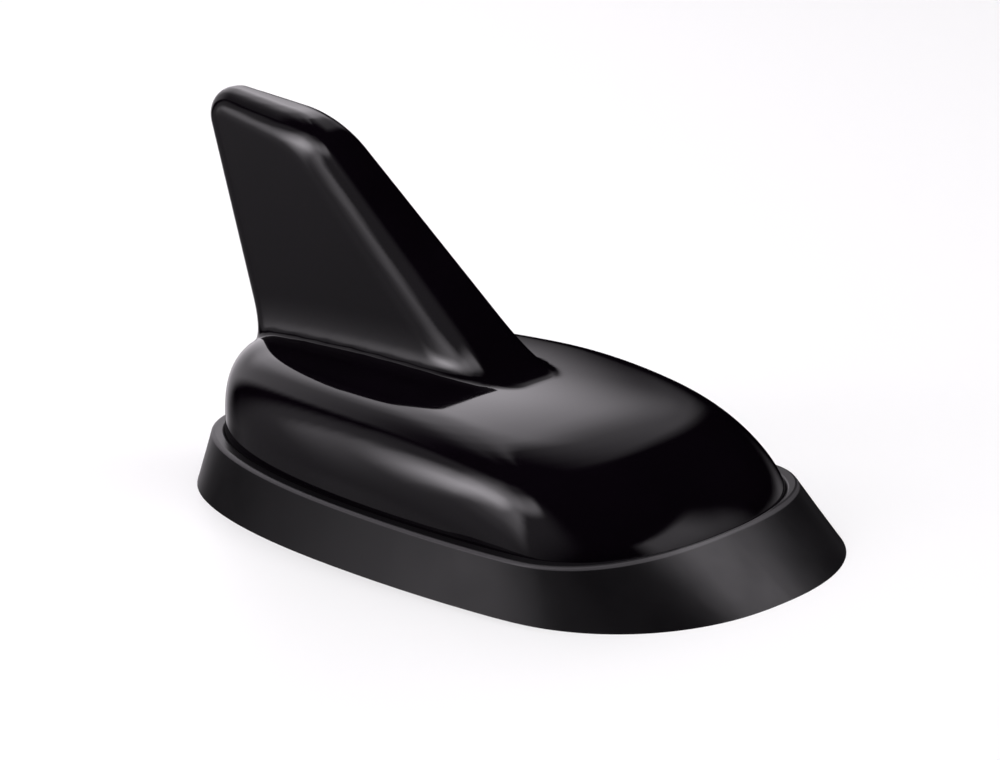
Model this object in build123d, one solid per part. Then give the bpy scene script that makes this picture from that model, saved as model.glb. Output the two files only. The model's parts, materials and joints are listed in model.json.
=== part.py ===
from build123d import *
from math import copysign, cos, pi, radians, sin, tan
import os

# Shark fin roof aerial, in millimetres. The nose points along +X, the roof is the plane Z = 0,
# and the origin is the middle of the skirt's foot.

# Skirt
foot_length = 150.0
foot_width = 91.0
widest_x = 35.0
skirt_height = 10.9
flare_rear = 1.0
flare_nose = 15.9
flare_side = 3.8
lip_width = 2.5
lip_outer_round = 0.9
lip_inner_round = 0.5
skirt_hold = 3.0
skirt_clearance = 0.1

# Plan curves: powers of the superellipse behind and ahead of the widest place
foot_rear_power = 2.53
foot_nose_power = 2.27
rim_rear_power = 2.30
rim_nose_power = 2.51

# Dome of the cover
wall = 2.2
dome_draft = 0.6
nose_reach = 3.8
nose_pitch = 1.8
nose_blend_x = 20.0
nose_least_wall = 2.0
shoulder_inset = 13.3
shoulder_drop = 15.7
shoulder_power = 2.5
deck_height = 33.2
deck_apex_x = -8.0
deck_crown = 1.2
deck_rear_fall = 3.8
deck_rear_run = 70.0
deck_nose_fall = 7.6
deck_nose_run = 48.0

# Fin of the cover; its edges are rounded by ellipses that grow from the tail to the lead
fin_foot_z = 30.0
fin_root_depth = 18.0
fin_top_z = 84.0
fin_tail_x = -66.8
fin_lead_x = 10.0
fin_rake = 17.2
fin_sweep = 40.6
fin_top_fall = 6.9
fin_tail_thickness = 9.6
fin_lead_thickness = 23.4
fin_tip_round = 6.4
fin_brow_round = 31.0
fin_tail_edge = 4.5
fin_lead_edge = 8.0
fin_tail_reach = 4.8
fin_lead_reach = 11.0
fin_foot_fillet = 4.0

# Floor of the housing
pad_thickness = 1.2
pad_clearance = 0.3
plate_thickness = 2.4
rib_height = 3.0
rib_thickness = 1.6
rib_clearance = 0.2
seal_inset = 0.6
seal_width = 1.0
seal_height = 1.0

# Screws that hold the cover down
post_diameter = 6.5
post_front_x = 44.0
post_front_y = 18.0
post_rear_x = -47.0
post_rear_y = 14.0
cover_screw_diameter = 2.4
cover_screw_length = 10.0
cover_screw_head_diameter = 5.6
cover_screw_head_height = 1.2
cover_screw_recess = 1.3

# Fits that the small screws share
screw_clearance = 0.1
hole_clearance = 0.4
drive_slot_width = 0.7
drive_slot_depth = 0.6
drive_slot_share = 0.6

# Circuit board
board_length = 68.0
board_width = 38.0
board_thickness = 1.6
board_middle_x = 2.0
board_corner = 3.0
board_screw_inset = 4.0
standoff_height = 3.0
standoff_diameter = 6.0
board_screw_diameter = 2.0
board_screw_length = 5.4
board_screw_head_diameter = 4.2
board_screw_head_height = 1.5

# Amplifier under its shield
can_length = 17.0
can_width = 26.0
can_height = 5.0
can_sheet = 0.4
can_middle_x = 3.0
can_vent_diameter = 1.8
can_vent_pitch = 5.0
can_corner = 1.0
chip_size = 6.0
chip_height = 1.2
inductor_size = 3.6
inductor_height = 2.4
inductor_y = 8.5
capacitor_length = 2.0
capacitor_width = 1.2
capacitor_height = 1.0
capacitor_pitch = 3.2
capacitor_x = 6.0

# Ceramic patch
patch_size = 18.0
patch_height = 4.0
patch_middle_x = 23.5
electrode_size = 14.5
electrode_sheet = 0.2
electrode_corner = 1.6
patch_pin_diameter = 1.0
patch_pin_head_diameter = 2.0
patch_pin_head_height = 0.3
patch_pin_offset = 1.8
pin_clearance = 0.05

# Lead socket and cable outlet
socket_width = 8.0
socket_length = 8.0
socket_height = 8.0
socket_x = -27.0
barrel_diameter = 6.0
barrel_bore = 4.4
barrel_length = 5.0
socket_pin_diameter = 1.0
outlet_x = -39.5
outlet_diameter = 9.0
grommet_flange = 12.0
grommet_flange_height = 1.0
lead_bore = 4.2
grommet_clearance = 0.05

# Loading coil
coil_x = -14.0
coil_wire = 1.2
coil_pitch = 2.6
coil_turns = 6
coil_radius = 5.0
former_wall = 1.2
former_flange = 13.0
former_flange_height = 1.6
coil_clearance = 0.1
coil_pin_diameter = 1.2
coil_pin_rise = 5.0

# Radiator in the fin and its carrier
carrier_flange_length = 17.0
carrier_flange_width = 15.0
carrier_flange_height = 2.5
carrier_flange_corner = 2.0
carrier_x = -55.0
carrier_half = 1.8
carrier_web_length = 13.0
carrier_waist_z = 36.0
carrier_screw_y = 4.7
carrier_screw_length = 4.0
radiator_sheet = 0.5
radiator_clearance = 0.05
radiator_top_gap = 8.7
radiator_height = 22.0
radiator_tail_gap = 9.0
radiator_lead_gap = 9.0
leg_width = 4.0

# Faces of the curves
ring_points = 24
wall_steps = 3
shoulder_steps = 5
cap_shares = (0.75, 0.4, 0.1)
root_depth = 4.0
edge_steps = 5
corner_points = 5
through = 40.0

# Heights and places that follow from the sizes above
plate_bottom = pad_thickness
plate_top = plate_bottom + plate_thickness
board_bottom = plate_top + standoff_height
board_top = board_bottom + board_thickness
rim_rear = flare_rear - foot_length / 2
rim_nose = foot_length / 2 - flare_nose
rim_half = foot_width / 2 - flare_side
deck_half = rim_half - lip_width - dome_draft - shoulder_inset
posts = [(post_front_x, post_front_y), (post_front_x, -post_front_y),
         (post_rear_x, post_rear_y), (post_rear_x, -post_rear_y)]
board_holes = [(board_middle_x + i * (board_length / 2 - board_screw_inset),
                j * (board_width / 2 - board_screw_inset)) for i in (1, -1) for j in (1, -1)]
carrier_holes = [(carrier_x, carrier_screw_y), (carrier_x, -carrier_screw_y)]


def egg(rear_x, nose_x, half_width, wide_x, rear_power, nose_power):
    """Points of a closed plan curve, from two superellipse halves that meet at the widest place."""
    points = []
    for i in range(ring_points):
        c = cos(2 * pi * i / ring_points)
        s = sin(2 * pi * i / ring_points)
        reach = nose_x - wide_x if c > 0 else wide_x - rear_x
        power = 2 / (nose_power if c > 0 else rear_power)
        x = wide_x + reach * copysign(abs(c) ** power, c)
        y = half_width * copysign(abs(s) ** power, s)
        points.append((x, y))
    return points


def closed_wire(points):
    return Wire([Edge.make_spline([Vector(*p) for p in points], periodic=True)])


def plan(inset):
    """Plan of the cover at its foot, moved inwards; the nose slopes, so it moves further."""
    return egg(rim_rear + lip_width + inset, rim_nose - lip_width + nose_reach - nose_pitch * inset,
               rim_half - lip_width - inset, widest_x - nose_pitch * inset,
               rim_rear_power, rim_nose_power)


def plan_slab(inset, low, high):
    wire = closed_wire([(x, y, low) for x, y in plan(inset)])
    return extrude(Face(wire), high - low, dir=(0, 0, 1))


def deck_z(x, y):
    """Height of the dome's top: along the middle two parabolas that meet at the apex, crowned across."""
    run = deck_nose_run if x > deck_apex_x else deck_rear_run
    fall = deck_nose_fall if x > deck_apex_x else deck_rear_fall
    return deck_height - fall * ((x - deck_apex_x) / run) ** 2 - deck_crown * (y / deck_half) ** 2


def ease(t):
    t = min(max(t, 0), 1)
    return t * t * (3 - 2 * t)


def shoulder_ring(turn, skin):
    """One ring of the dome's shoulder, from the wall (turn 0) to the deck (turn pi / 2)."""
    ring = []
    side = cos(turn) ** (2 / shoulder_power)
    rise = sin(turn) ** (2 / shoulder_power)
    for x, y in plan(dome_draft + skin + (shoulder_inset - skin) * (1 - side)):
        height = deck_z(x, y) - skin - plate_top
        share = ease((x - nose_blend_x) / (rim_nose - lip_width - nose_blend_x))
        side_drop = shoulder_drop - skin
        drop = side_drop + (height - nose_least_wall - side_drop) * share
        ring.append((x, y, plate_top + height - drop * (1 - rise)))
    return ring


def blend(ring, other, share):
    return [tuple(a + (b - a) * share for a, b in zip(p, q)) for p, q in zip(ring, other)]


def dome(skin):
    """Solid dome, its surface moved inwards by skin, standing on the base plate."""
    wall_top = shoulder_ring(0, skin)
    wall_foot = [(x, y, plate_top - root_depth) for x, y in plan(skin)]
    rings = [blend(wall_foot, wall_top, k / wall_steps) for k in range(wall_steps)]
    rings += [shoulder_ring(pi / 2 * k / shoulder_steps, skin) for k in range(shoulder_steps + 1)]
    middle_x = (fin_tail_x + fin_lead_x) / 2
    edge = rings[-1]
    for share in cap_shares:
        ring = []
        for x, y, _ in edge:
            cap_x = middle_x + (x - middle_x) * share
            cap_y = y * share
            ring.append((cap_x, cap_y, deck_z(cap_x, cap_y) - skin))
        rings.append(ring)
    peak = Vertex(middle_x, 0, deck_z(middle_x, 0) - skin)
    loft_body = Solid.make_loft([closed_wire(r) for r in rings] + [peak])
    return split(loft_body, bisect_by=Plane.XY.offset(plate_top), keep=Keep.TOP)


def tail_x(z):
    return fin_tail_x - (z - fin_foot_z) * tan(radians(fin_rake))


def lead_x(z):
    return fin_lead_x - (z - fin_foot_z) / tan(radians(fin_sweep))


def along_fin(x, z):
    """Place along the fin: 0 at the tail, 1 at the foot of the lead."""
    return (x - tail_x(z)) / (fin_lead_x - fin_tail_x)


def side_line(x, z, angle, tail_inset, lead_inset):
    """Line a x + b z + c = 0 of the fin's side view; its inset grows along the fin."""
    growth = (lead_inset - tail_inset) / (fin_lead_x - fin_tail_x)
    rake = tan(radians(fin_rake))
    a = sin(angle)
    b = cos(angle)
    c = tail_inset - a * x - b * z - growth * (fin_tail_x + fin_foot_z * rake)
    return a + growth, b + growth * rake, c


def meet(line, other):
    """Point where two lines of the side view cross."""
    a, b, c = line
    d, e, f = other
    scale = a * e - b * d
    return Vector((b * f - c * e) / scale, 0, (c * d - a * f) / scale)


def corner_arc(before, corner, after, radius):
    """Points of the arc that rounds a corner of the side view, and the directions at its ends."""
    back = (before - corner).normalized()
    on = (after - corner).normalized()
    half_angle = radians(back.get_angle(on)) / 2
    centre = corner + (back + on).normalized() * (radius / sin(half_angle))
    first = corner + back * (radius / tan(half_angle)) - centre
    last = corner + on * (radius / tan(half_angle)) - centre
    turn = pi - 2 * half_angle
    points = []
    for k in range(corner_points):
        t = k / (corner_points - 1)
        points.append(centre + (first * sin((1 - t) * turn) + last * sin(t * turn)) / sin(turn))
    return points, back * -1, on


def fin_ring(turn, side, skin):
    """Closed ring round the fin's edge, from its rim (turn 0) to its flat side (turn pi / 2)."""
    insets = [skin + (1 - cos(turn)) * (reach - skin) for reach in (fin_tail_reach, fin_lead_reach)]
    tail = side_line(fin_tail_x, fin_foot_z, -pi / 2 - radians(fin_rake), *insets)
    top = side_line(tail_x(fin_top_z), fin_top_z, radians(fin_top_fall), *insets)
    lead = side_line(fin_lead_x, fin_foot_z, radians(fin_sweep), *insets)
    root = (0, -1, fin_foot_z - fin_root_depth)
    corners = [meet(tail, root), meet(tail, top), meet(top, lead), meet(lead, root)]

    def placed(point):
        share = along_fin(point.X, point.Z)
        half = (fin_tail_thickness + (fin_lead_thickness - fin_tail_thickness) * share) / 2
        depth = fin_tail_edge + (fin_lead_edge - fin_tail_edge) * share
        return Vector(point.X, side * (half - skin - (1 - sin(turn)) * (depth - skin)), point.Z)

    edges = []
    start = placed(corners[0])
    for i, corner_round in ((1, fin_tip_round), (2, fin_brow_round)):
        share = along_fin(corners[i].X, corners[i].Z)
        radius = corner_round - insets[0] - (insets[1] - insets[0]) * share
        points, arriving, leaving = corner_arc(corners[i - 1], corners[i], corners[i + 1], radius)
        spots = [placed(p) for p in points]
        slopes = [placed(points[0] + arriving) - spots[0], placed(points[-1] + leaving) - spots[-1]]
        edges.append(Edge.make_line(start, spots[0]))
        edges.append(Edge.make_spline(spots, tangents=slopes))
        start = spots[-1]
    edges.append(Edge.make_line(start, placed(corners[3])))
    edges.append(Edge.make_line(placed(corners[3]), placed(corners[0])))
    return Wire(edges)


def fin(skin):
    """Solid fin: a slab between its two rims, and on each side a loft that rounds over to the flat side."""
    turns = [pi / 2 * k / edge_steps for k in range(edge_steps + 1)]
    body = Solid.make_loft([fin_ring(0, -1, skin), fin_ring(0, 1, skin)], ruled=True)
    for side in (1, -1):
        body += Solid.make_loft([fin_ring(turn, side, skin) for turn in turns])
    return body


def disc(x, y, diameter, low, height):
    return Pos(x, y, low + height / 2) * Cylinder(diameter / 2, height)


def block(x, y, low, length, width, height):
    return Pos(x, y, low + height / 2) * Box(length, width, height)


def rounded_slab(x, y, low, length, width, height, corner):
    body = block(x, y, low, length, width, height)
    return fillet(body.edges().filter_by(Axis.Z), corner)


def screw(x, y, seat, diameter, length, head_diameter, head_height, up):
    """Screw whose head bears on the plane Z = seat, with a cross recess; up is 1 with the head on top."""
    head_low = seat if up > 0 else seat - head_height
    body = disc(x, y, head_diameter, head_low, head_height)
    body += disc(x, y, diameter, seat - length if up > 0 else seat, length)
    face_z = seat + up * head_height
    slot_low = face_z - drive_slot_depth if up > 0 else face_z
    for long_way in (0, 90):
        slot = Box(head_diameter * drive_slot_share, drive_slot_width, drive_slot_depth)
        body -= Pos(x, y, slot_low + drive_slot_depth / 2) * Rot(0, 0, long_way) * slot
    return body


def make_cover():
    """Moulded cover: dome and fin in one hollow piece, with four screw posts inside."""
    outer_dome = dome(0)
    outer_fin = fin(0)
    joined = outer_dome + outer_fin
    outer = fillet(new_edges(outer_dome, outer_fin, combined=joined), fin_foot_fillet)
    cavity = dome(wall) + fin(wall)
    pilot = cover_screw_diameter + screw_clearance
    pillars = Part() + [disc(x, y, post_diameter, plate_top, through) for x, y in posts]
    pilots = [disc(x, y, pilot, plate_top, cover_screw_length) for x, y in posts]
    return outer - cavity + (pillars & dome(wall / 2)) - pilots


def make_skirt():
    """Rubber skirt: flared wall with a rounded lip, open for the cover, with an edge under the base plate."""
    foot = egg(-foot_length / 2, foot_length / 2, foot_width / 2, widest_x, foot_rear_power, foot_nose_power)
    rim = egg(rim_rear, rim_nose, rim_half, widest_x, rim_rear_power, rim_nose_power)
    foot_wire = closed_wire([(x, y, 0) for x, y in foot])
    rim_wire = closed_wire([(x, y, skirt_height) for x, y in rim])
    body = Solid.make_loft([foot_wire, rim_wire], ruled=True)
    body -= dome(-skirt_clearance)
    body -= plan_slab(-skirt_clearance, plate_bottom, plate_top)
    body -= plan_slab(skirt_hold, 0, plate_bottom)
    top = body.faces().filter_by(Axis.Z).sort_by(Axis.Z)[-1]
    body = fillet(top.outer_wire().edges(), lip_outer_round)
    top = body.faces().filter_by(Axis.Z).sort_by(Axis.Z)[-1]
    return fillet(top.inner_wires()[0].edges(), lip_inner_round)


def seal_ring(low, high):
    return plan_slab(seal_inset, low, high) - plan_slab(seal_inset + seal_width, low, high)


def make_base_plate():
    """Floor of the housing: rib inside the cover, seal groove, standoffs, screw holes and cable outlet."""
    body = plan_slab(0, plate_bottom, plate_top)
    rib_inset = wall + dome_draft + rib_clearance
    rib_top = plate_top + rib_height
    rib = plan_slab(rib_inset, plate_top, rib_top)
    rib -= plan_slab(rib_inset + rib_thickness, plate_top, rib_top)
    body += rib
    body -= seal_ring(plate_top - seal_height, plate_top)
    for x, y in posts:
        body -= disc(x, y, post_diameter + hole_clearance, plate_top, rib_height)
        body -= disc(x, y, cover_screw_diameter + hole_clearance, plate_bottom, plate_thickness)
        recess = cover_screw_head_diameter + hole_clearance
        body -= disc(x, y, recess, plate_bottom, cover_screw_recess)
    for x, y in board_holes:
        body += disc(x, y, standoff_diameter, plate_top, standoff_height)
        depth = board_screw_length - board_thickness + screw_clearance
        body -= disc(x, y, board_screw_diameter + screw_clearance, board_bottom - depth, depth)
    for x, y in carrier_holes:
        depth = carrier_screw_length - carrier_flange_height + screw_clearance
        body -= disc(x, y, board_screw_diameter + screw_clearance, plate_top - depth, depth)
    return body - disc(outlet_x, 0, outlet_diameter, plate_bottom, plate_thickness)


def make_adhesive_pad():
    pad = plan_slab(skirt_hold + pad_clearance, 0, plate_bottom)
    return pad - disc(outlet_x, 0, grommet_flange + pad_clearance, 0, plate_bottom)


def make_grommet():
    """Rubber grommet: a flange on each side of the base plate, and a bore for the lead."""
    body = disc(outlet_x, 0, outlet_diameter - 2 * grommet_clearance, plate_bottom, plate_thickness)
    body += disc(outlet_x, 0, grommet_flange, plate_top, grommet_flange_height)
    body += disc(outlet_x, 0, grommet_flange, plate_bottom - grommet_flange_height, grommet_flange_height)
    return body - disc(outlet_x, 0, lead_bore, 0, through)


def make_main_board():
    board = rounded_slab(board_middle_x, 0, board_bottom, board_length, board_width, board_thickness,
                         board_corner)
    for x, y in board_holes:
        board -= disc(x, y, board_screw_diameter + hole_clearance, board_bottom, board_thickness)
    return board


def make_shield_can():
    """Drawn sheet lid, open below, with two rows of vents."""
    outer = rounded_slab(can_middle_x, 0, board_top, can_length, can_width, can_height, can_corner)
    room_height = can_height - can_sheet
    room_length = can_length - 2 * can_sheet
    room_width = can_width - 2 * can_sheet
    body = outer - block(can_middle_x, 0, board_top, room_length, room_width, room_height)
    for i in (-1, 0, 1):
        for j in (-1, 1):
            x = can_middle_x + j * can_vent_pitch / 2
            body -= disc(x, i * can_vent_pitch, can_vent_diameter, board_top + room_height, can_sheet)
    return body


def make_patch_block():
    body = block(patch_middle_x, 0, board_top, patch_size, patch_size, patch_height)
    bore = patch_pin_diameter + 2 * pin_clearance
    return body - disc(patch_middle_x + patch_pin_offset, 0, bore, board_top, patch_height)


def make_patch_electrode():
    low = board_top + patch_height
    plate = block(patch_middle_x, 0, low, electrode_size, electrode_size, electrode_sheet)
    plate = chamfer(plate.edges().filter_by(Axis.Z).sort_by(lambda e: e.center().X + e.center().Y)[::3],
                    electrode_corner)
    bore = patch_pin_diameter + 2 * pin_clearance
    return plate - disc(patch_middle_x + patch_pin_offset, 0, bore, low, electrode_sheet)


def make_patch_pin():
    x = patch_middle_x + patch_pin_offset
    length = patch_height + electrode_sheet
    pin = disc(x, 0, patch_pin_diameter, board_top, length)
    return pin + disc(x, 0, patch_pin_head_diameter, board_top + length, patch_pin_head_height)


def make_lead_socket():
    """Board socket: a square body with a hollow barrel towards the cable outlet and a centre pin."""
    body = block(socket_x, 0, board_top, socket_length, socket_width, socket_height)
    middle = Pos(socket_x - socket_length / 2 - barrel_length / 2, 0, board_top + socket_height / 2)
    along = Rot(0, 90, 0)
    body += middle * along * Cylinder(barrel_diameter / 2, barrel_length)
    body -= middle * along * Cylinder(barrel_bore / 2, barrel_length)
    return body + middle * along * Cylinder(socket_pin_diameter / 2, barrel_length)


def coil_length():
    return coil_turns * coil_pitch + coil_wire


def make_coil_former():
    """Moulded tube on a flange, with a second flange on top of the winding."""
    tube_diameter = 2 * coil_radius - coil_wire - 2 * coil_clearance
    height = 2 * former_flange_height + coil_length()
    body = disc(coil_x, 0, tube_diameter, board_top, height)
    for low in (board_top, board_top + height - former_flange_height):
        body += disc(coil_x, 0, former_flange, low, former_flange_height)
    bore_depth = height - former_wall
    return body - disc(coil_x, 0, tube_diameter - 2 * former_wall, board_top, bore_depth)


def former_top():
    return board_top + 2 * former_flange_height + coil_length()


def make_loading_coil():
    start = Vector(coil_radius, 0, 0)
    path = Helix(coil_pitch, coil_turns * coil_pitch, coil_radius)
    wire = sweep(Plane(start, z_dir=path % 0) * Circle(coil_wire / 2), path=path, is_frenet=True)
    return Pos(coil_x, 0, board_top + former_flange_height + coil_wire / 2) * wire


def leg_y():
    return carrier_half + radiator_clearance + radiator_sheet / 2


def make_coil_pin():
    return disc(coil_x, leg_y(), coil_pin_diameter, former_top(), coil_pin_rise)


def radiator_top():
    return fin_top_z - radiator_top_gap


def side_plate(points, low_y, high_y):
    face = make_face(Polyline([(x, 0, z) for x, z in points], close=True))
    middle = (low_y + high_y) / 2
    return Pos(0, middle, 0) * extrude(face, (high_y - low_y) / 2, both=True)


def make_plate_carrier():
    """Moulded post: flange on the base plate and a raked web up into the fin."""
    body = rounded_slab(carrier_x, 0, plate_top, carrier_flange_length, carrier_flange_width,
                        carrier_flange_height, carrier_flange_corner)
    foot_z = plate_top + carrier_flange_height
    top_z = radiator_top() - radiator_sheet
    half = carrier_web_length / 2
    top_rear = tail_x(top_z) + radiator_tail_gap
    web = [(carrier_x - half, foot_z), (carrier_x + half, foot_z),
           (carrier_x + half, carrier_waist_z), (top_rear + carrier_web_length, top_z),
           (top_rear, top_z), (carrier_x - half, carrier_waist_z)]
    body += side_plate(web, -carrier_half, carrier_half)
    for x, y in carrier_holes:
        body -= disc(x, y, board_screw_diameter + hole_clearance, plate_top, carrier_flange_height)
    return body


def make_load_plate():
    """Folded sheet that sits astride the carrier, with a leg down to the coil's pin."""
    top = radiator_top()
    low = top - radiator_height
    inner = carrier_half + radiator_clearance
    outer = inner + radiator_sheet
    rear_top = tail_x(top) + radiator_tail_gap
    rear_low = tail_x(low) + radiator_tail_gap
    front_low = lead_x(low) - radiator_lead_gap - radiator_height
    side = [(rear_top, top), (lead_x(top) - radiator_lead_gap, top), (front_low, low), (rear_low, low)]
    body = side_plate(side, -outer, outer)
    room = [(rear_low - through, low - 1), (rear_low - through, top - radiator_sheet),
            (through, top - radiator_sheet), (through, low - 1)]
    body -= side_plate(room, -inner, inner)
    leg_end = former_top() + coil_pin_rise
    leg = [(front_low - leg_width, low + leg_width), (front_low, low + leg_width),
           (coil_x + leg_width / 2, leg_end), (coil_x + leg_width / 2, leg_end - leg_width),
           (coil_x - leg_width / 2, leg_end - leg_width), (coil_x - leg_width / 2, leg_end - leg_width / 2),
           (front_low - leg_width, low)]
    body += side_plate(leg, inner, outer)
    return body - disc(coil_x, leg_y(), coil_pin_diameter, former_top(), coil_pin_rise)


def make_group(pieces):
    return Compound(children=[p if isinstance(p, Solid) else p.solid() for p in pieces])


cover_screw_seat = plate_bottom + cover_screw_recess
cover_screws = [screw(x, y, cover_screw_seat, cover_screw_diameter,
                      cover_screw_length - screw_clearance, cover_screw_head_diameter,
                      cover_screw_head_height, -1) for x, y in posts]
board_screws = [screw(x, y, board_top, board_screw_diameter, board_screw_length,
                      board_screw_head_diameter, board_screw_head_height, 1) for x, y in board_holes]
carrier_screws = [screw(x, y, plate_top + carrier_flange_height, board_screw_diameter, carrier_screw_length,
                        board_screw_head_diameter, board_screw_head_height, 1) for x, y in carrier_holes]
inductors = [block(can_middle_x, y, board_top, inductor_size, inductor_size, inductor_height)
             for y in (inductor_y, -inductor_y)]
capacitors = [block(can_middle_x + capacitor_x, i * capacitor_pitch, board_top,
                    capacitor_length, capacitor_width, capacitor_height) for i in (-1, 0, 1)]

nodes = {
    "cover": make_cover(),
    "skirt": make_skirt(),
    "base_plate": make_base_plate(),
    "adhesive_pad": make_adhesive_pad(),
    "cover_seal": seal_ring(plate_top - seal_height, plate_top),
    "cover_screws": make_group(cover_screws),
    "cable_grommet": make_grommet(),
    "main_board": make_main_board(),
    "board_screws": make_group(board_screws),
    "shield_can": make_shield_can(),
    "amplifier_chip": block(can_middle_x, 0, board_top, chip_size, chip_size, chip_height),
    "filter_inductors": make_group(inductors),
    "chip_capacitors": make_group(capacitors),
    "lead_socket": make_lead_socket(),
    "coil_former": make_coil_former(),
    "loading_coil": make_loading_coil(),
    "coil_pin": make_coil_pin(),
    "plate_carrier": make_plate_carrier(),
    "carrier_screws": make_group(carrier_screws),
    "load_plate": make_load_plate(),
    "patch_block": make_patch_block(),
    "patch_electrode": make_patch_electrode(),
    "patch_pin": make_patch_pin(),
}

os.makedirs("parts", exist_ok=True)
for name, body in nodes.items():
    export_step(body, f"parts/{name}.step")
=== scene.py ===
import json
import math
import bpy
import numpy as np
from mathutils import Matrix, Vector


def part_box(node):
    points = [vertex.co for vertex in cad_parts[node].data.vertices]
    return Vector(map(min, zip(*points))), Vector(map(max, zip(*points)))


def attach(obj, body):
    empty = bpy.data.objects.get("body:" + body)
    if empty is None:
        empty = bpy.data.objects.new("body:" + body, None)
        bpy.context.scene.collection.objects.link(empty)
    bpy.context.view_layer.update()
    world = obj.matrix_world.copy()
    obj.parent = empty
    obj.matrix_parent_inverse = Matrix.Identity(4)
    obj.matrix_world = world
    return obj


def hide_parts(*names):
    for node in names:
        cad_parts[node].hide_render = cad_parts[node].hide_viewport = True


# Shark fin roof aerial. The nose points along +X and the roof is the plane Z = 0, in metres.

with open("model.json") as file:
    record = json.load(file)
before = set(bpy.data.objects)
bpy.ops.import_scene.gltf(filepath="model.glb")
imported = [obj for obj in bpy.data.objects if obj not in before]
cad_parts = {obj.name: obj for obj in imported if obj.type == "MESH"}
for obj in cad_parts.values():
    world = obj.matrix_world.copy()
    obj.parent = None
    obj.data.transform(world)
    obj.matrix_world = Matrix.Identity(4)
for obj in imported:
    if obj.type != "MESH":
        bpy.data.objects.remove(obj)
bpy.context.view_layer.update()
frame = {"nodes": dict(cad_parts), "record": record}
nodes = frame["nodes"]
scene = bpy.context.scene
scene.view_settings.view_transform = "Standard"

# Camera: direction towards it, distance in metres, lens and sensor in millimetres. The origin's drop below
# the picture's middle and the focal length are in pixels of a picture 1000 wide
view_azimuth = math.radians(40.3)
view_elevation = math.radians(18.8)
view_distance = 0.700
view_lens = 119.95
view_sensor = 36
view_near = 0.01
origin_drop = 140
focal_length = 3332
view_lift = math.atan(origin_drop / focal_length)

# Studio: the surroundings that the gloss mirrors, as soft patches of sky. Each has its azimuth, elevation,
# half length, half width, slant, the softness of its back, front, lower and upper edge, all in degrees, and
# its brightness. The row at azimuth -88 and the last two are given one by one. The others come from a fit to
# the brightness of the gloss in the photograph
sky_patches = [
    (-121.5, 22.1, 18.9, 3, 56.3, 16, 18.6, 4.9, 10.6, 8.54),
    (-111.2, 32, 17.6, 12.3, 76.4, 20.3, 16.9, 5.2, 6.4, 1.73),
    (-105.6, 27.5, 58.5, 30, 48.1, 21.4, 22.1, 22.1, 4.1, 0.26),
    (-167.4, -17.2, 50.7, 14.2, 37.2, 20.1, 2, 20.4, 5.9, 0.13),
    (165.5, 32.6, 32, 28.9, 42.1, 10.7, 22.1, 4, 13.3, 0.53),
    (134.4, 41.8, 28, 12.2, 17.4, 2.7, 8.4, 12.3, 19.6, 0.42),
    (145.2, 40.3, 24.7, 20, -17.2, 3.1, 10.8, 5.3, 16.6, 0.73),
    (139.1, 7.8, 6.2, 28.7, 26.2, 5.7, 15.7, 22.1, 10.1, 1.34),
    (37.3, 23.3, 17.8, 13.6, 0.1, 8.8, 9.7, 22.1, 2.9, 0.84),
    (-88, 58, 20, 7, 34, 10, 8, 5, 8, 1.9),
    (-146.1, 5.1, 12.7, 3.3, 43.6, 8.8, 6.2, 18.1, 3.8, 0.92),
    (58, -15, 42, 20, 0, 10, 10, 8, 6, 0.3),
    (0, 11, 16, 8, 0, 6, 6, 6, 5, 0.5),
]
# The sky fades out at its top, and only a share of it reaches what is mirrored a second time
sky_colour = (0.99, 0.94, 1.0)
sky_top, sky_top_soft = 72.0, 6.0
second_bounce, second_bounce_depth = 0.12, 2.5

# Floor and lamps, in metres and watts. The front lamp stands off from a place low at the nose
floor_size, floor_grey, floor_roughness = 12, 0.9, 0.5
floor_power, overhead_size, overhead_height = 71.0, 3.0, 2.5
front_power, front_size, front_distance = 0.42, 0.16, 0.6
front_aim = (0.065, -0.01, 0.006)
front_azimuth, front_elevation = math.radians(75), math.radians(45)

# Noise in the materials: detail of the mottle and of the grain, and the range of values that is used
mottle_detail, grain_detail = 4.0, 3.0
noise_low, noise_high = 0.3, 0.7

# Skirt: shine of the rubber, and the lighter band on the round of its lip, a painted highlight, in metres
# below the lip's top
skirt_specular = 0.2
painted_highlight_low, painted_highlight_high, painted_highlight_soft = 0.00065, 0.0001, 0.0001
painted_highlight_colour = (0.055, 0.052, 0.056)


def new_material(name):
    material = bpy.data.materials.new(name)
    material.use_nodes = True
    tree = material.node_tree
    return material, tree, tree.nodes["Principled BSDF"]


def noise(tree, scale, detail, where):
    node = tree.nodes.new("ShaderNodeTexNoise")
    node.inputs["Scale"].default_value = scale
    node.inputs["Detail"].default_value = detail
    tree.links.new(where.outputs["Object"], node.inputs["Vector"])
    return node.outputs["Fac"]


def ranged(tree, value, low, high):
    node = tree.nodes.new("ShaderNodeMapRange")
    node.inputs["From Min"].default_value = noise_low
    node.inputs["From Max"].default_value = noise_high
    node.inputs["To Min"].default_value = low
    node.inputs["To Max"].default_value = high
    tree.links.new(value, node.inputs["Value"])
    return node.outputs["Result"]


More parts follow.
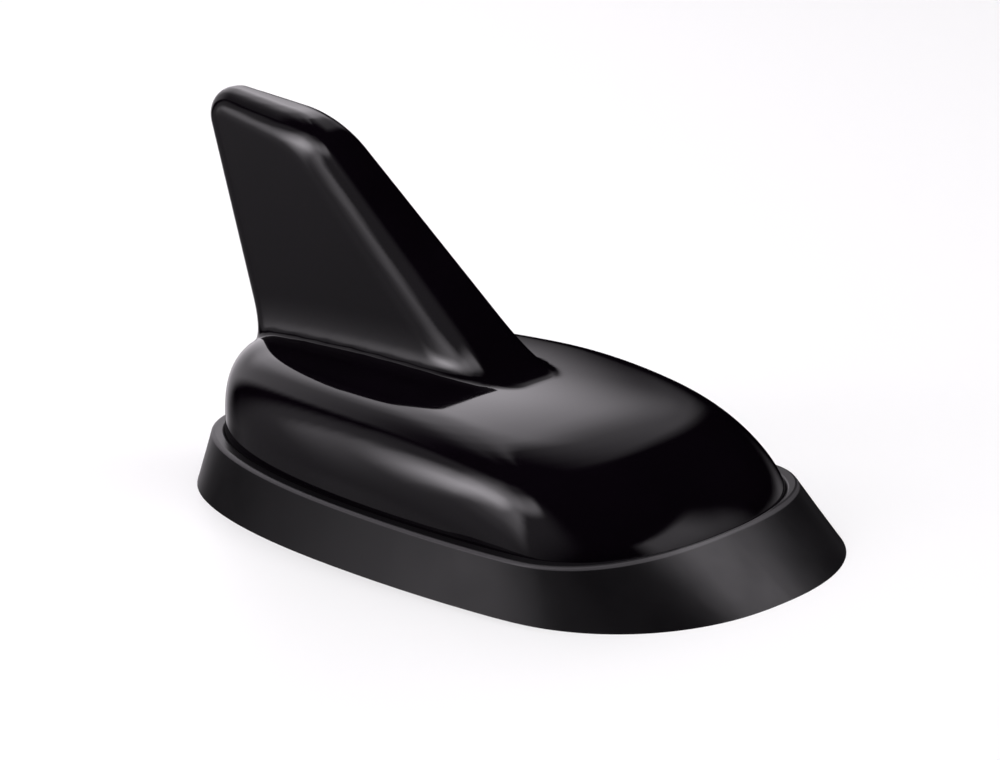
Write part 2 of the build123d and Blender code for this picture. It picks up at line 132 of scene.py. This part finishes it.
def moulded(name, colour, spread, rough, grain, depth, metal=0.0, mottle=90.0):
    """Grained material: colour and roughness drift over the surface, and a fine bump gives the grain."""
    material, tree, shader = new_material(name)
    where = tree.nodes.new("ShaderNodeTexCoord")
    drift = noise(tree, mottle, mottle_detail, where)
    mix = tree.nodes.new("ShaderNodeMix")
    mix.data_type = "RGBA"
    mix.inputs["A"].default_value = (*[c * (1 - spread) for c in colour], 1)
    mix.inputs["B"].default_value = (*[min(1.0, c * (1 + spread)) for c in colour], 1)
    tree.links.new(ranged(tree, drift, 0, 1), mix.inputs["Factor"])
    tree.links.new(mix.outputs["Result"], shader.inputs["Base Color"])
    fine = noise(tree, grain, grain_detail, where)
    tree.links.new(ranged(tree, drift, rough[0], rough[1]), shader.inputs["Roughness"])
    bump = tree.nodes.new("ShaderNodeBump")
    bump.inputs["Strength"].default_value = 1.0
    bump.inputs["Distance"].default_value = depth
    tree.links.new(fine, bump.inputs["Height"])
    tree.links.new(bump.outputs["Normal"], shader.inputs["Normal"])
    shader.inputs["Metallic"].default_value = metal
    return material


# Finish of each material: colour, its spread, least and most roughness, scale and depth of the grain, and
# where they aren't the usual ones, metal and the scale of the mottle
finishes = {
    "cover_gloss": ((0.0021, 0.0012, 0.0024), 0.2, (0.05, 0.075), 350, 1.2e-7, 0.0, 40),
    "skirt_rubber": ((0.005, 0.0045, 0.0053), 0.12, (0.28, 0.34), 2600, 4e-6),
    "floor_plastic": ((0.03, 0.03, 0.032), 0.12, (0.42, 0.55), 1500, 1.5e-5),
    "pad_foam": ((0.09, 0.09, 0.092), 0.25, (0.8, 0.95), 1300, 6e-5, 0.0, 600),
    "seal_rubber": ((0.02, 0.02, 0.021), 0.15, (0.55, 0.7), 2200, 1e-5),
    "screw_steel": ((0.55, 0.56, 0.58), 0.12, (0.25, 0.42), 3000, 4e-6, 1.0, 500),
    "board_laminate": ((0.03, 0.16, 0.08), 0.15, (0.3, 0.45), 900, 8e-6),
    "shield_tin": ((0.62, 0.62, 0.6), 0.08, (0.25, 0.4), 700, 6e-6, 1.0, 250),
    "chip_plastic": ((0.025, 0.025, 0.028), 0.15, (0.45, 0.6), 3000, 6e-6),
    "ferrite": ((0.08, 0.08, 0.085), 0.2, (0.5, 0.7), 2500, 1e-5),
    "ceramic_tan": ((0.42, 0.3, 0.2), 0.12, (0.4, 0.55), 3000, 5e-6),
    "socket_plastic": ((0.05, 0.09, 0.3), 0.1, (0.35, 0.5), 1500, 8e-6),
    "former_plastic": ((0.62, 0.61, 0.57), 0.06, (0.4, 0.55), 1500, 8e-6),
    "copper_wire": ((0.6, 0.28, 0.14), 0.12, (0.2, 0.35), 2500, 4e-6, 1.0, 400),
    "pin_brass": ((0.7, 0.52, 0.25), 0.1, (0.2, 0.35), 2500, 4e-6, 1.0, 400),
    "plate_tin": ((0.6, 0.6, 0.58), 0.08, (0.28, 0.42), 700, 6e-6, 1.0, 250),
    "patch_ceramic": ((0.66, 0.57, 0.44), 0.08, (0.45, 0.6), 2200, 8e-6),
    "electrode_silver": ((0.75, 0.74, 0.7), 0.08, (0.3, 0.45), 1800, 6e-6, 1.0, 300),
}
materials = {name: moulded(name, *finish) for name, finish in finishes.items()}


def lightened(material, low, high, soft, colour):
    """Give a moulded material another colour between two heights, with soft edges."""
    tree = material.node_tree
    shader = tree.nodes["Principled BSDF"]
    where = tree.nodes.new("ShaderNodeTexCoord")
    split = tree.nodes.new("ShaderNodeSeparateXYZ")
    tree.links.new(where.outputs["Object"], split.inputs[0])
    band = tree.nodes.new("ShaderNodeMath")
    band.operation = "MULTIPLY"
    for socket, edge, ends in ((band.inputs[0], low, (0, 1)), (band.inputs[1], high, (1, 0))):
        node = tree.nodes.new("ShaderNodeMapRange")
        node.interpolation_type = "SMOOTHSTEP"
        node.inputs["From Min"].default_value = edge - soft
        node.inputs["From Max"].default_value = edge + soft
        node.inputs["To Min"].default_value = ends[0]
        node.inputs["To Max"].default_value = ends[1]
        tree.links.new(split.outputs["Z"], node.inputs["Value"])
        tree.links.new(node.outputs["Result"], socket)
    mix = tree.nodes.new("ShaderNodeMix")
    mix.data_type = "RGBA"
    tree.links.new(shader.inputs["Base Color"].links[0].from_socket, mix.inputs["A"])
    mix.inputs["B"].default_value = (*colour, 1)
    tree.links.new(band.outputs[0], mix.inputs["Factor"])
    tree.links.new(mix.outputs["Result"], shader.inputs["Base Color"])


# Skirt: satin rubber, with a painted highlight as a lighter colour on the round of its lip
rubber = materials["skirt_rubber"]
rubber.node_tree.nodes["Principled BSDF"].inputs["Specular IOR Level"].default_value = skirt_specular
lip_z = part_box("skirt")[1][2]
# The lighter band on the lip's round is a painted highlight, not a colour of the rubber
lightened(rubber, lip_z - painted_highlight_low, lip_z - painted_highlight_high, painted_highlight_soft, painted_highlight_colour)

for part in frame["record"]["subparts"]:
    mesh = nodes[part["node"]].data
    mesh.materials.clear()
    mesh.materials.append(materials[part["material_slot"]])

# Cover, in millimetres: the solid's dome and fin, with a taller and narrower round at the fin's foot
plate_top = 3.6
foot_rear, foot_nose, foot_half = -71.5, 60.4, 39.2
widest_x, nose_pitch = 35.0, 1.8
rear_power, nose_power = 2.30, 2.51
dome_draft, shoulder_inset, shoulder_drop, shoulder_power = 0.6, 13.3, 15.7, 2.5
nose_blend_x, rim_nose_x, nose_least_wall = 20.0, 56.6, 2.0
deck_height, deck_apex_x, deck_crown = 33.2, -8.0, 1.2
deck_rear_fall, deck_rear_run, deck_nose_fall, deck_nose_run = 3.8, 70.0, 7.6, 48.0
fin_foot_z, fin_top_z, fin_tail_x, fin_lead_x = 30.0, 84.0, -66.8, 10.0
fin_rake, fin_sweep, fin_top_fall = math.radians(17.2), math.radians(40.6), math.radians(6.9)
fin_tail_half, fin_lead_half = 4.8, 11.7
fin_tip_round, fin_brow_round = 6.4, 31.0
foot_round_height, foot_round_width = 6.5, 2.2
fin_tail_edge, fin_lead_edge = 4.5, 8.0
fin_tail_reach, fin_lead_reach = 4.8, 11.0
cover_wall = 2.2

# Grid that the skin is read from, the search for a point's inset, and the pull of the mesh onto the skin
mesh_step = 0.85
grid_low, grid_size = (-84.0, -41.0, plate_top), (147, 82, 81)
least_inset, most_inset, halvings = -4.0, 30.0, 26
slope_probe, pull_probe, pull_rounds = 0.02, 0.05, 4
tiny, least_grid_slope, least_pull_slope = 1e-6, 1e-3, 0.1


def outline(x, y, inset):
    """Below 1 inside the cover's plan moved inwards by inset, above 1 outside."""
    wide = widest_x - nose_pitch * inset
    ahead = x > wide
    reach = np.where(ahead, foot_nose - widest_x, wide - foot_rear - inset)
    power = np.where(ahead, nose_power, rear_power)
    return (np.abs(x - wide) / reach) ** power + (np.abs(y) / (foot_half - inset)) ** power


def bisect(inside, low, high, shape):
    low = np.full(shape, low)
    high = np.full(shape, high)
    for _ in range(halvings):
        middle = (low + high) / 2
        good = inside(middle)
        low = np.where(good, middle, low)
        high = np.where(good, high, middle)
    return (low + high) / 2


def deck(x, y):
    """Inset of a point in the plan, the dome's top over it, and the height where the shoulder begins."""
    inset = bisect(lambda t: outline(x, y, t) < 1, least_inset, most_inset, x.shape)
    run = np.where(x > deck_apex_x, deck_nose_run, deck_rear_run)
    fall = np.where(x > deck_apex_x, deck_nose_fall, deck_rear_fall)
    line = deck_height - fall * ((x - deck_apex_x) / run) ** 2
    t = np.clip((x - nose_blend_x) / (rim_nose_x - nose_blend_x), 0, 1)
    top = line - deck_crown * (y / (foot_half - dome_draft - shoulder_inset)) ** 2
    drop = shoulder_drop + (top - plate_top - nose_least_wall - shoulder_drop) * t * t * (3 - 2 * t)
    return inset, top, top - drop


def dome_value(inset, top, wall_top, z):
    """Below 0 inside the dome: a wall, a full round shoulder and the deck."""
    draft = dome_draft * (1 - np.clip((z - plate_top) / (wall_top - plate_top), 0, 1))
    side = np.maximum(0, (dome_draft + shoulder_inset - inset - draft) / shoulder_inset)
    rise = np.maximum(0, (z - wall_top) / (top - wall_top))
    return side ** shoulder_power + rise ** shoulder_power - 1


def rounded(a, b, cosine, radius):
    """Signed distance to where two half planes meet, with the corner rounded."""
    a = a + radius
    b = b + radius
    sine = math.sqrt(1 - cosine ** 2)
    corner = np.sqrt(np.maximum(a * a + b * b - 2 * a * b * cosine, 0)) / sine
    near = np.where((b > 0) & (a <= b * cosine), b, corner)
    near = np.where((a > 0) & (b <= a * cosine), a, near)
    return np.where(np.maximum(a, b) <= 0, np.maximum(a, b), near) - radius


def fin_value(x, y, z):
    """Near signed distance to the fin: its side view, slanting sides and the elliptic round between them."""
    tail_x = fin_tail_x - (z - fin_foot_z) * math.tan(fin_rake)
    tip_x = fin_tail_x - (fin_top_z - fin_foot_z) * math.tan(fin_rake)
    tail = -(x - fin_tail_x) * math.cos(fin_rake) - (z - fin_foot_z) * math.sin(fin_rake)
    top = (x - tip_x) * math.sin(fin_top_fall) + (z - fin_top_z) * math.cos(fin_top_fall)
    lead = (x - fin_lead_x) * math.sin(fin_sweep) + (z - fin_foot_z) * math.cos(fin_sweep)
    front = rounded(top, lead, math.cos(fin_sweep - fin_top_fall), fin_brow_round)
    view = rounded(tail, front, -math.sin(fin_rake + fin_top_fall), fin_tip_round)
    share = np.clip((x - tail_x) / (fin_lead_x - fin_tail_x), 0, 1)
    swell = (fin_lead_half - fin_tail_half) * (x - tail_x) / (fin_lead_x - fin_tail_x)
    side = np.abs(y) - fin_tail_half - swell
    depth = fin_tail_edge + (fin_lead_edge - fin_tail_edge) * share
    reach = fin_tail_reach + (fin_lead_reach - fin_tail_reach) * share
    a = 1 + view / reach
    b = 1 + side / depth
    corner = np.hypot(a, b)
    steep = np.sqrt((a / reach) ** 2 + (b / depth) ** 2) / np.maximum(corner, tiny)
    oval = (corner - 1) / np.maximum(steep, tiny)
    return np.where((a > 0) & (b > 0), oval, np.maximum(view, side))


def joined(dome, fin):
    """Dome and fin as one, with a hollow round between them, taller on the fin than wide on the dome."""
    a = np.maximum(1 - dome / foot_round_height, 0)
    b = np.maximum(1 - fin / foot_round_width, 0)
    corner = np.hypot(a, b)
    steep = np.hypot(a / foot_round_height, b / foot_round_width) / np.maximum(corner, tiny)
    hollow = (1 - corner) / np.maximum(steep, tiny)
    return np.where((a > 0) & (b > 0), hollow, np.minimum(dome, fin))


def cover_value(x, y, z):
    """Signed distance to the cover's skin, near it, with a hollow round where the fin meets the dome."""
    d = slope_probe
    here = dome_value(*deck(x, y), z)
    slope = np.sqrt(((dome_value(*deck(x + d, y), z) - here) / d) ** 2
                    + ((dome_value(*deck(x, y + d), z) - here) / d) ** 2
                    + ((dome_value(*deck(x, y), z + d) - here) / d) ** 2)
    return joined(here / np.maximum(slope, tiny), fin_value(x, y, z))


def surface_net(field, low, step):
    """Vertices and quads of the zero surface of a grid of values, one vertex in each cell it crosses."""
    size = np.array(field.shape) - 1
    total = np.zeros((*size, 3))
    count = np.zeros(size)
    rings = []
    for axis in range(3):
        b, c = (axis + 1) % 3, (axis + 2) % 3
        lower = np.take(field, range(size[axis]), axis)
        upper = np.take(field, range(1, size[axis] + 1), axis)
        at = np.argwhere((lower < 0) != (upper < 0))
        at = at[(at[:, b] > 0) & (at[:, b] < size[b]) & (at[:, c] > 0) & (at[:, c] < size[c])]
        here, there = lower[tuple(at.T)], upper[tuple(at.T)]
        point = at.astype(float)
        point[:, axis] += here / (here - there)
        ring = []
        for i, j in ((0, 0), (-1, 0), (-1, -1), (0, -1)):
            cell = at.copy()
            cell[:, b] += i
            cell[:, c] += j
            np.add.at(total, tuple(cell.T), point)
            np.add.at(count, tuple(cell.T), 1)
            ring.append(np.ravel_multi_index(tuple(cell.T), size))
        ring = np.stack(ring, 1)
        rings.append(np.where((here < 0)[:, None], ring, ring[:, ::-1]))
    used = count.ravel() > 0
    number = np.cumsum(used) - 1
    vertices = total.reshape(-1, 3)[used] / count.ravel()[used][:, None]
    return np.array(low) + vertices * step, number[np.concatenate(rings)]


def cover_mesh():
    """Mesh of the cover's skin: read from a grid, then pulled onto the skin."""
    steps = [int(s / mesh_step) + 1 for s in grid_size]
    x, y, z = (low + mesh_step * np.arange(n) for low, n in zip(grid_low, steps))
    plan_x, plan_y = np.meshgrid(x, y, indexing="ij")
    inset, top, wall_top = (v[:, :, None] for v in deck(plan_x, plan_y))
    dome = dome_value(inset, top, wall_top, z[None, None, :])
    slope = np.sqrt(sum(g ** 2 for g in np.gradient(dome, mesh_step)))
    dome = dome / np.maximum(slope, least_grid_slope)
    fin = fin_value(x[:, None, None], y[None, :, None], z[None, None, :])
    points, quads = surface_net(joined(dome, fin), grid_low, mesh_step)
    d = pull_probe
    for _ in range(pull_rounds):
        px, py, pz = points.T
        value = cover_value(px, py, pz)
        slope = np.stack([cover_value(px + d, py, pz) - cover_value(px - d, py, pz),
                          cover_value(px, py + d, pz) - cover_value(px, py - d, pz),
                          cover_value(px, py, pz + d) - cover_value(px, py, pz - d)], 1) / (2 * d)
        move = value[:, None] * slope / np.maximum((slope ** 2).sum(1), least_pull_slope)[:, None]
        points = points - np.clip(move, -mesh_step, mesh_step)
    return points, quads


# The moulding as one smooth skin with a wall, in place of the cover's solid
points, quads = cover_mesh()
skin = bpy.data.meshes.new("cover_moulding")
skin.from_pydata((points / 1000).tolist(), [], quads.tolist())
skin.polygons.foreach_set("use_smooth", [True] * len(skin.polygons))
skin.materials.append(materials["cover_gloss"])
cover = bpy.data.objects.new("cover_moulding", skin)
scene.collection.objects.link(cover)
wall = cover.modifiers.new("wall", "SOLIDIFY")
wall.thickness = cover_wall / 1000
wall.offset = -1
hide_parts("cover")
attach(cover, "root")

# Floor; the gloss doesn't mirror it
bpy.ops.mesh.primitive_plane_add(size=floor_size)
floor = bpy.context.object
floor.name = "floor"
paper, _, shader = new_material("floor_paper")
shader.inputs["Base Color"].default_value = (floor_grey, floor_grey, floor_grey, 1)
shader.inputs["Roughness"].default_value = floor_roughness
floor.data.materials.append(paper)
floor.visible_glossy = False

# Overhead light for the floor; the gloss doesn't mirror it
lamp = bpy.data.lights.new("overhead", "AREA")
lamp.size = overhead_size
lamp.energy = floor_power
overhead = bpy.data.objects.new("overhead", lamp)
overhead.location = (0, 0, overhead_height)
overhead.visible_glossy = False
overhead.visible_camera = False
scene.collection.objects.link(overhead)

# Front light for the rubber skirt alone
front = bpy.data.lights.new("front", "AREA")
front.size = front_size
front.energy = front_power
front.color = sky_colour
front_light = bpy.data.objects.new("front", front)
way = Vector((math.cos(front_elevation) * math.cos(front_azimuth),
              math.cos(front_elevation) * math.sin(front_azimuth), math.sin(front_elevation)))
front_light.location = Vector(front_aim) + front_distance * way
front_light.rotation_euler = way.to_track_quat("Z", "Y").to_euler()
front_light.visible_camera = False
scene.collection.objects.link(front_light)
lit = bpy.data.collections.new("front_lit")
lit.objects.link(nodes["skirt"])
front_light.light_linking.receiver_collection = lit

# Sky
world = bpy.data.worlds.new("studio")
world.use_nodes = True
scene.world = world
sky = world.node_tree
sky.nodes.clear()


def sky_math(operation, *values):
    node = sky.nodes.new("ShaderNodeMath")
    node.operation = operation
    for socket, value in zip(node.inputs, values):
        if isinstance(value, (int, float)):
            socket.default_value = value
        else:
            sky.links.new(value, socket)
    return node.outputs[0]


def step_down(value, edge, soft):
    """1 where the value is below the edge, 0 above it."""
    node = sky.nodes.new("ShaderNodeMapRange")
    node.interpolation_type = "SMOOTHSTEP"
    node.inputs["From Min"].default_value = edge - soft
    node.inputs["From Max"].default_value = edge + soft
    node.inputs["To Min"].default_value = 1
    node.inputs["To Max"].default_value = 0
    sky.links.new(value, node.inputs["Value"])
    return node.outputs["Result"]


direction = sky.nodes.new("ShaderNodeTexCoord").outputs["Generated"]
split = sky.nodes.new("ShaderNodeSeparateXYZ")
sky.links.new(direction, split.inputs[0])
rising = sky_math("MULTIPLY", sky_math("ARCSINE", split.outputs["Z"]), 180 / math.pi)
turning = sky_math("MULTIPLY", sky_math("ARCTAN2", split.outputs["Y"], split.outputs["X"]), 180 / math.pi)
total = None
for azimuth, elevation, half_length, half_width, slant, back, ahead, below, above, bright in sky_patches:
    cosine, sine = math.cos(math.radians(slant)), math.sin(math.radians(slant))
    away = sky_math("WRAP", sky_math("SUBTRACT", turning, azimuth), 180, -180)
    rise = sky_math("SUBTRACT", rising, elevation)
    along = sky_math("ADD", sky_math("MULTIPLY", away, cosine), sky_math("MULTIPLY", rise, sine))
    across = sky_math("SUBTRACT", sky_math("MULTIPLY", rise, cosine), sky_math("MULTIPLY", away, sine))
    length = sky_math("MULTIPLY", step_down(along, half_length, ahead),
                      step_down(sky_math("MULTIPLY", along, -1), half_length, back))
    width = sky_math("MULTIPLY", step_down(across, half_width, above),
                     step_down(sky_math("MULTIPLY", across, -1), half_width, below))
    patch = sky_math("MULTIPLY", sky_math("MULTIPLY", length, width), bright)
    total = patch if total is None else sky_math("ADD", total, patch)
total = sky_math("MULTIPLY", total, step_down(rising, sky_top, sky_top_soft))
seen = sky.nodes.new("ShaderNodeLightPath")
first = sky_math("LESS_THAN", seen.outputs["Ray Depth"], second_bounce_depth)
kept = sky_math("ADD", sky_math("MULTIPLY", first, 1 - second_bounce), second_bounce)
total = sky_math("MULTIPLY", total, kept)
glow = sky.nodes.new("ShaderNodeBackground")
glow.inputs["Color"].default_value = (*sky_colour, 1)
sky.links.new(total, glow.inputs["Strength"])
plain = sky.nodes.new("ShaderNodeBackground")
plain.inputs["Color"].default_value = (1, 1, 1, 1)
choice = sky.nodes.new("ShaderNodeMixShader")
sky.links.new(seen.outputs["Is Camera Ray"], choice.inputs["Fac"])
sky.links.new(glow.outputs[0], choice.inputs[1])
sky.links.new(plain.outputs[0], choice.inputs[2])
output = sky.nodes.new("ShaderNodeOutputWorld")
sky.links.new(choice.outputs[0], output.inputs["Surface"])

# Camera
back = Vector((math.sin(view_azimuth) * math.cos(view_elevation),
               -math.cos(view_azimuth) * math.cos(view_elevation), math.sin(view_elevation)))
right = Vector((math.cos(view_azimuth), math.sin(view_azimuth), 0))
upward = back.cross(right)
axis = back * math.cos(view_lift) - upward * math.sin(view_lift)
camera_up = axis.cross(right)
camera = bpy.data.objects.new("camera", bpy.data.cameras.new("camera"))
camera.data.lens = view_lens
camera.data.sensor_width = view_sensor
camera.data.clip_start = view_near
turn = Matrix((right, camera_up, axis)).transposed().to_4x4()
camera.matrix_world = Matrix.Translation(back * view_distance) @ turn
scene.collection.objects.link(camera)
scene.camera = camera
